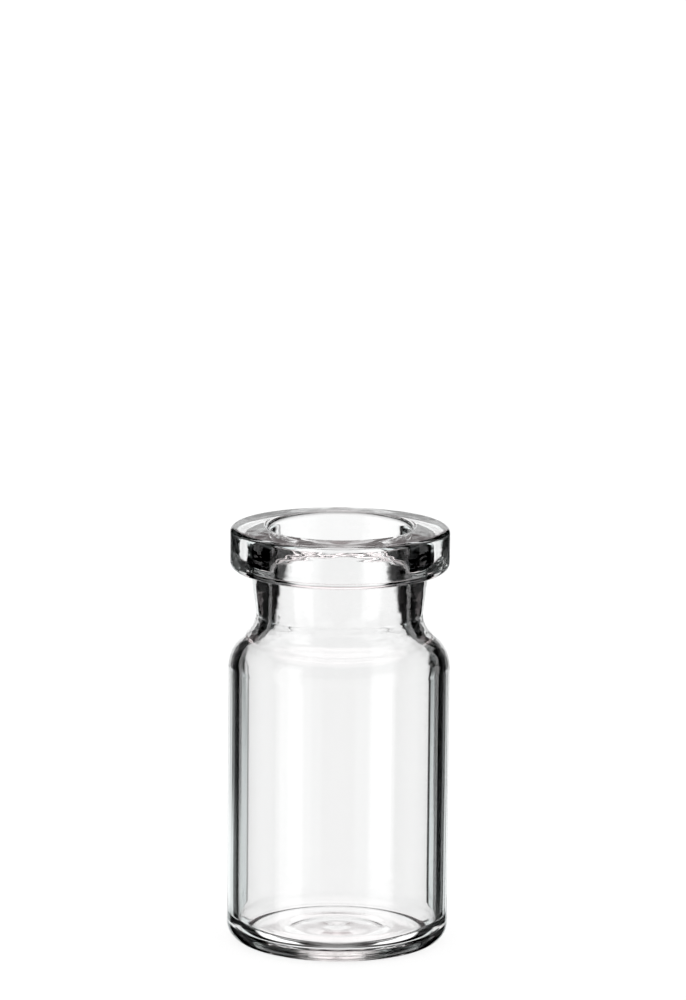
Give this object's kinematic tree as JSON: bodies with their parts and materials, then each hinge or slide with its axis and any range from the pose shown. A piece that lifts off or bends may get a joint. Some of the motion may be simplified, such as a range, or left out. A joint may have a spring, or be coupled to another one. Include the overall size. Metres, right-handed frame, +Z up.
{
  "type": "glass sample vial",
  "caption": "Clear glass sample vial with a flat bottom, straight walls, a drawn-in neck and a crimp flange round an open mouth.",
  "frame": {"origin": "centre of the bottom, on the surface that the vial stands on", "axes": "+Z up along the axis of the vial and out of its mouth"},
  "size_m": [0.0202, 0.0202, 0.0385],
  "materials": {
    "clear_glass": "clear, colourless, fire-polished"
  },
  "bodies": {
    "root": {"glass_vial": "clear_glass"}
  },
  "joints": []
}
